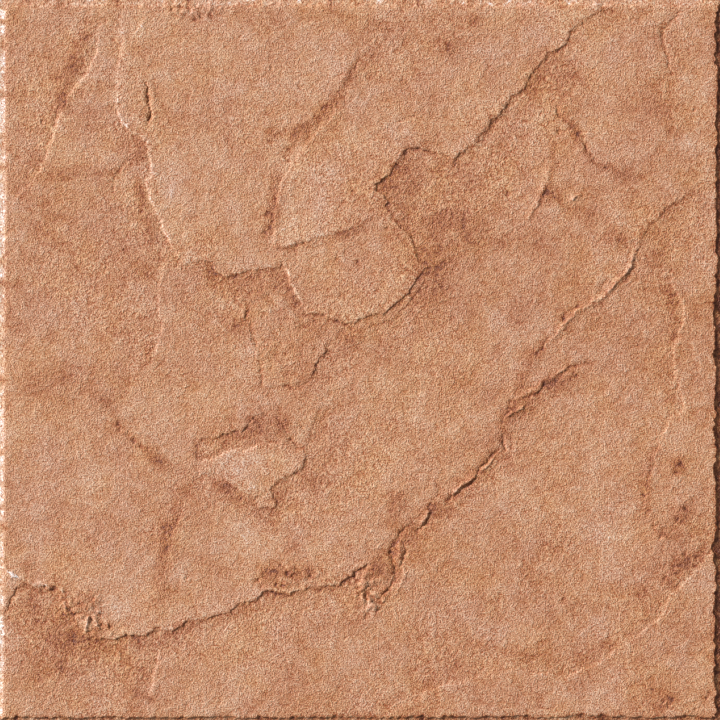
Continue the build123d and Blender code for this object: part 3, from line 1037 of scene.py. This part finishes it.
def border_faces(outer, rim, rim_turn):
    """Flat faces between the bevelled outline of the back and the rim of its pocket grid."""
    rim = [rim[k] for k in np.argsort(rim_turn)]
    rim_turn = np.sort(rim_turn)
    faces = []
    for k, n in in_turn(len(rim)):
        start, stop = rim_turn[k], rim_turn[n]
        stop = stop if stop > start else stop + 4
        first = int(round(start / 4 * len(outer)))
        last = int(round(stop / 4 * len(outer)))
        strip = [outer[place % len(outer)] for place in range(first, last + 1)]
        faces.append(strip + [rim[n], rim[k]])
    return faces


FACE_PART, FLANK_PART, BACK_PART = range(3)

# Shares of the flat map: the face, the gaps, one flank's strip with its gap, and the strip alone
MAP_FACE = 0.8
MAP_GAP = 0.01
MAP_STRIP = 0.045
STRIP_FILL = 0.8


def bake_map(mesh, points, parts):
    """Flat map of the surface: the face large, the flanks as strips and the back beside them."""
    flat = points[:, :2] / (SIDE * MM) + 0.5
    turn = turn_of(points[:, 0], points[:, 1])
    layer = mesh.uv_layers.new(name="OFBake")
    corner = np.zeros(len(mesh.loops), int)
    mesh.loops.foreach_get("vertex_index", corner)
    uv = np.zeros((len(corner), 2))
    for polygon, part in zip(mesh.polygons, parts):
        span = slice(polygon.loop_start, polygon.loop_start + polygon.loop_total)
        nodes = corner[span]
        if part == FACE_PART:
            uv[span] = MAP_GAP / 2 + flat[nodes] * (MAP_FACE - MAP_GAP)
        elif part == FLANK_PART:
            place = turn[nodes]
            place = np.where(place < place.max() - 2, place + 4, place)
            side = int(place.min() + SMALL)
            depth = np.clip(1 - points[nodes, 2] / (THICKNESS * MM), 0, 1)
            uv[span, 0] = MAP_GAP / 2 + (place - side) * (MAP_FACE - MAP_GAP)
            uv[span, 1] = MAP_FACE + MAP_GAP + (side % 4 + depth * STRIP_FILL) * MAP_STRIP
        else:
            uv[span, 0] = MAP_FACE + MAP_GAP + flat[nodes, 0] * (1 - MAP_FACE - 2 * MAP_GAP)
            uv[span, 1] = MAP_GAP + flat[nodes, 1] * (MAP_FACE - MAP_GAP)
    layer.data.foreach_set("uv", uv.ravel())


def face_worn_with_painted_edge_light(u, v):
    """Points in metres, height in millimetres and tone of the face, worn along the broken edge, where its
    tone takes on the wall's painted light and shade.
    """
    face_u, face_v = draw_in(u, v)
    height, tone = face_relief(face_u, face_v)
    gap = np.min(list(outline_gaps(u, v).values()), axis=0)
    drop = shared(side_share(u, v), EDGE_DROP) * (1 + DROP_NOISE.at(face_u, face_v))
    height -= drop * bell(gap, DROP_REACH)
    # the wall's painted light and shade, carried onto the face's edge
    tone += (flank_tone(u, v, WALL) - tone) * EDGE_BLEND * bell(gap, BLEND_REACH)
    return on_tile(face_u, face_v, height), height, tone


def tile_surface():
    """Points in metres, tones, faces and the part of each face, for the whole closed tile."""
    cells, fine = face_cells()
    faces, used, number = cell_polygons(cells, fine)
    pitch = SHEET / fine
    columns, rows = np.nonzero(used)
    face_points, height, tone = face_worn_with_painted_edge_light(columns * pitch, rows * pitch)
    points, tones = [face_points], [tone]
    parts = [FACE_PART] * len(faces)

    columns, rows = outline_nodes(fine)
    ring = number[columns, rows]
    total = len(tone)
    for ring_points, ring_tone in flank_rings(columns * pitch, rows * pitch, height[ring]):
        points.append(ring_points)
        tones.append(ring_tone)
        below = np.arange(total, total + len(ring))
        faces += [[ring[k], ring[n], below[n], below[k]] for k, n in in_turn(len(ring))]
        ring = below
        total += len(ring)
    parts += [FLANK_PART] * (len(faces) - len(parts))

    back_points, back_faces, rim = back_surface()
    x, y = back_points[:, 0], back_points[:, 1]
    points.append(back_points * MM)
    tones.append(BACK_TONE + BACK_NOISE.at(x, y))
    faces += [[total + k for k in face] for face in back_faces]
    faces += border_faces(list(ring), [total + k for k in rim], turn_of(x[rim], y[rim]))
    parts += [BACK_PART] * (len(faces) - len(parts))
    return np.concatenate(points), np.concatenate(tones), faces, parts


def build_tile(material):
    """The tile as one object, with its tone and its flat map."""
    points, tones, faces, parts = tile_surface()
    mesh = bpy.data.meshes.new("tile_body")
    mesh.from_pydata(points, [], faces)
    mesh.polygons.foreach_set("use_smooth", [part != BACK_PART for part in parts])
    attribute = mesh.attributes.new("tone", "FLOAT", "POINT")
    attribute.data.foreach_set("value", tones)
    bake_map(mesh, points, parts)
    mesh.materials.append(material)
    mesh.validate()
    tile = bpy.data.objects.new("tile_body", mesh)
    bpy.context.collection.objects.link(tile)
    return tile


def srgb(red, green, blue):
    """Scene-linear colour from 8-bit sRGB values."""
    def linear(value):
        value /= 255
        return value / 12.92 if value <= 0.04045 else ((value + 0.055) / 1.055) ** 2.4
    return linear(red), linear(green), linear(blue), 1.0


# Colour of the body from dark brown to near white, in its rosy and its tan places
ROSY_STOPS = [
    (0.0, srgb(121, 65, 40)),
    (0.12, srgb(155, 90, 57)),
    (0.25, srgb(183, 115, 76)),
    (0.5, srgb(203, 145, 109)),
    (0.8, srgb(215, 169, 140)),
    (1.0, srgb(246, 225, 213)),
]
TAN_STOPS = [
    (0.0, srgb(123, 65, 39)),
    (0.12, srgb(158, 90, 54)),
    (0.25, srgb(187, 117, 68)),
    (0.5, srgb(205, 145, 100)),
    (0.8, srgb(218, 169, 130)),
    (1.0, srgb(246, 225, 213)),
]

# Noises of the material: width of the features in metres, and detail
CLOUDS = (0.02, 3)
HUES = (0.016, 5)
MOTTLE = (0.006, 3)
SAND = (0.0018, 2)
GRIT = (0.0006, 1)
NOISE_ROUGH = 0.6  # strength of each finer layer of these noises

# Scattered specks: metres between them, and their radius in cells of that size
SPECK_GAP = 0.013
SPECK_SPREAD = 0.13  # added to SPECK_LEAST for the largest radius
SPECK_LEAST = -0.03  # below 0, so some have no speck
SPECK_EDGE = 10.0  # how steep their edges are

# How far each noise moves the tone, from which the colour is taken
CLOUD_TONE = 0.45
MOTTLE_TONE = 0.65
SAND_TONE = (-0.6, 0.92)  # change with the tone, and amount on the darkest ground
SPECK_TONE = -0.4
HUE_SWING = 3.4  # from rosy to tan
GRIT_SWING = 2.4
SAND_SWING = 0.2
GRAIN_GAIN = (0.42, 0.8, 1.06)  # swing of the grain's red, green and blue

# Relief of the grain, and roughness
GRAIN_HEIGHT = 0.00064  # metres
GRAIN_WORN = (-1.0, 1.3)  # change with the tone, and share of the height on the darkest ground
SAND_RELIEF = 0.9
MOTTLE_RELIEF = 0.9
SPECK_RELIEF = -1.2
ROUGHNESS = 0.5
ROUGHNESS_SWING = 0.2
SPECULAR = 0.5

MIX_FACTOR, MIX_FIRST, MIX_SECOND = 0, 6, 7  # inputs of a node that mixes colours
MIX_RESULT = 2


class Nodes:
    """Short way to add and join the nodes of a material."""

    def __init__(self, material):
        self.tree = material.node_tree
        self.tree.nodes.clear()

    def add(self, kind, inputs=None, **settings):
        """A new node with some settings, and a value or another node's socket for some inputs."""
        node = self.tree.nodes.new(kind)
        for name, value in settings.items():
            setattr(node, name, value)
        for name, value in (inputs or {}).items():
            if isinstance(value, bpy.types.NodeSocket):
                self.tree.links.new(value, node.inputs[name])
            else:
                node.inputs[name].default_value = value
        return node

    def math(self, operation, *values, clamp=False):
        """Result of an operation on numbers or sockets."""
        inputs = dict(enumerate(values))
        return self.add("ShaderNodeMath", inputs, operation=operation, use_clamp=clamp).outputs[0]

    def noise(self, place, size, detail):
        """Noise with features about size metres across."""
        inputs = {"Vector": place, "Scale": 1 / size, "Detail": detail, "Roughness": NOISE_ROUGH}
        return self.add("ShaderNodeTexNoise", inputs).outputs["Fac"]

    def varied(self, base, noise, amount):
        """A base value, moved up and down by a noise."""
        return self.math("MULTIPLY_ADD", self.math("SUBTRACT", noise, 0.5), amount, base)

    def sloped(self, value, slope, start):
        """A value times a slope, plus a start, kept between 0 and 1."""
        return self.math("MULTIPLY_ADD", value, slope, start, clamp=True)

    def blended(self, kind, factor, first, second):
        """Two colours blended."""
        inputs = {MIX_FACTOR: factor, MIX_FIRST: first, MIX_SECOND: second}
        node = self.add("ShaderNodeMix", inputs, data_type="RGBA", blend_type=kind)
        return node.outputs[MIX_RESULT]

    def specks(self, place):
        """Small round pits of uneven size, thinly scattered: 1 in a pit, 0.5 outside."""
        cells = self.add("ShaderNodeTexVoronoi", {"Vector": place, "Scale": 1 / SPECK_GAP})
        chance = self.add("ShaderNodeSeparateColor", {"Color": cells.outputs["Color"]})
        radius = self.sloped(chance.outputs["Red"], SPECK_SPREAD, SPECK_LEAST)
        depth = self.sloped(cells.outputs["Distance"], -1.0, radius)
        return self.sloped(depth, SPECK_EDGE, 0.5)

    def swing(self, value, gain):
        """White that a value above or below one half makes brighter or darker."""
        low = tuple(1 - part for part in gain) + (1.0,)
        high = tuple(1 + part for part in gain) + (1.0,)
        return self.ramp(value, [(0.0, low), (1.0, high)])

    def ramp(self, value, stops):
        """Colour from a value, through (place, colour) stops."""
        node = self.add("ShaderNodeValToRGB", {"Fac": value})
        elements = node.color_ramp.elements
        while len(elements) < len(stops):
            elements.new(0.5)
        for element, (place, colour) in zip(elements, stops):
            element.position = place
            element.color = colour
        return node.outputs["Color"]


def stoneware():
    """Fired stoneware: mottled terracotta and rose with a sandy grain."""
    material = bpy.data.materials.new("fired_stoneware")
    material.use_nodes = True
    nodes = Nodes(material)
    place = nodes.add("ShaderNodeTexCoord").outputs["Object"]
    tone = nodes.add("ShaderNodeAttribute", attribute_name="tone").outputs["Fac"]
    worn = nodes.sloped(tone, *GRAIN_WORN)
    clouds, hues, mottle, sand, grit = [
        nodes.noise(place, *noise) for noise in (CLOUDS, HUES, MOTTLE, SAND, GRIT)
    ]
    specks = nodes.specks(place)

    tone = nodes.varied(tone, clouds, CLOUD_TONE)
    tone = nodes.varied(tone, mottle, MOTTLE_TONE)
    tone = nodes.varied(tone, sand, nodes.sloped(tone, *SAND_TONE))
    tone = nodes.varied(tone, specks, SPECK_TONE)
    rosy, tan = nodes.ramp(tone, ROSY_STOPS), nodes.ramp(tone, TAN_STOPS)
    colour = nodes.blended("MIX", nodes.varied(0.5, hues, HUE_SWING), rosy, tan)
    grain = nodes.varied(nodes.varied(0.5, grit, GRIT_SWING), sand, SAND_SWING)
    colour = nodes.blended("MULTIPLY", 1.0, colour, nodes.swing(grain, GRAIN_GAIN))

    relief = nodes.varied(nodes.varied(grit, sand, SAND_RELIEF), mottle, MOTTLE_RELIEF)
    relief = nodes.math("MULTIPLY", nodes.varied(relief, specks, SPECK_RELIEF), worn)
    bump = nodes.add("ShaderNodeBump", {"Distance": GRAIN_HEIGHT, "Height": relief})
    shader = nodes.add("ShaderNodeBsdfPrincipled", {
        "Base Color": colour,
        "Roughness": nodes.varied(ROUGHNESS, grain, ROUGHNESS_SWING),
        "Specular IOR Level": SPECULAR,
        "Normal": bump.outputs["Normal"],
    })
    nodes.add("ShaderNodeOutputMaterial", {"Surface": shader.outputs["BSDF"]})
    return material


FLOOR_COLOUR = srgb(226, 224, 220)
FLOOR_ROUGHNESS = 0.9
FLOOR_HALF = 1.6  # metres


def add_floor():
    """Plain pale floor under the tile."""
    material = bpy.data.materials.new("studio_floor")
    material.use_nodes = True
    shader = material.node_tree.nodes["Principled BSDF"]
    shader.inputs["Base Color"].default_value = FLOOR_COLOUR
    shader.inputs["Roughness"].default_value = FLOOR_ROUGHNESS
    mesh = bpy.data.meshes.new("studio_floor")
    corners = [(-1, -1), (1, -1), (1, 1), (-1, 1)]
    mesh.from_pydata([(x * FLOOR_HALF, y * FLOOR_HALF, 0) for x, y in corners], [], [(0, 1, 2, 3)])
    mesh.materials.append(material)
    floor = bpy.data.objects.new("studio_floor", mesh)
    bpy.context.collection.objects.link(floor)


KEY_TURN = 153  # degrees round from the right, towards the far edge: the light comes from the left
KEY_RISE = 26  # degrees above the face
KEY_STRENGTH = 5.5
KEY_SPREAD = 9  # degrees across, for soft shadows
FILL = 0.24  # strength of the even light


def add_light():
    """Raking key light from the upper left and an even fill."""
    turn, rise = math.radians(KEY_TURN), math.radians(KEY_RISE)
    towards = Vector((math.cos(turn) * math.cos(rise), math.sin(turn) * math.cos(rise), math.sin(rise)))
    key = bpy.data.lights.new("key", "SUN")
    key.energy = KEY_STRENGTH
    key.angle = math.radians(KEY_SPREAD)
    lamp = bpy.data.objects.new("key", key)
    lamp.rotation_euler = towards.to_track_quat("Z", "Y").to_euler()
    lamp.location = towards
    bpy.context.collection.objects.link(lamp)
    world = bpy.data.worlds.new("studio")
    world.use_nodes = True
    world.node_tree.nodes["Background"].inputs["Color"].default_value = (1, 1, 1, 1)
    world.node_tree.nodes["Background"].inputs["Strength"].default_value = FILL
    bpy.context.scene.world = world


CAMERA_HEIGHT = 2.0  # metres
SENSOR = 36.0
FRAME_TRIM = 0.6  # millimetres of the outline left outside the picture on each side


def add_camera():
    """Camera straight above the tile, with the tile filling the square picture."""
    seen = (SIDE - 2 * FRAME_TRIM) * MM
    camera = bpy.data.cameras.new("camera")
    camera.sensor_width = SENSOR
    camera.lens = SENSOR * (CAMERA_HEIGHT - FACE_Z * MM) / seen
    camera.dof.use_dof = False
    eye = bpy.data.objects.new("camera", camera)
    eye.location = (0, 0, CAMERA_HEIGHT)
    bpy.context.collection.objects.link(eye)
    bpy.context.scene.camera = eye


tile_body = build_tile(stoneware())
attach(tile_body, "root")
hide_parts("tile")
add_floor()
add_light()
add_camera()
bpy.context.scene.view_settings.view_transform = "Standard"
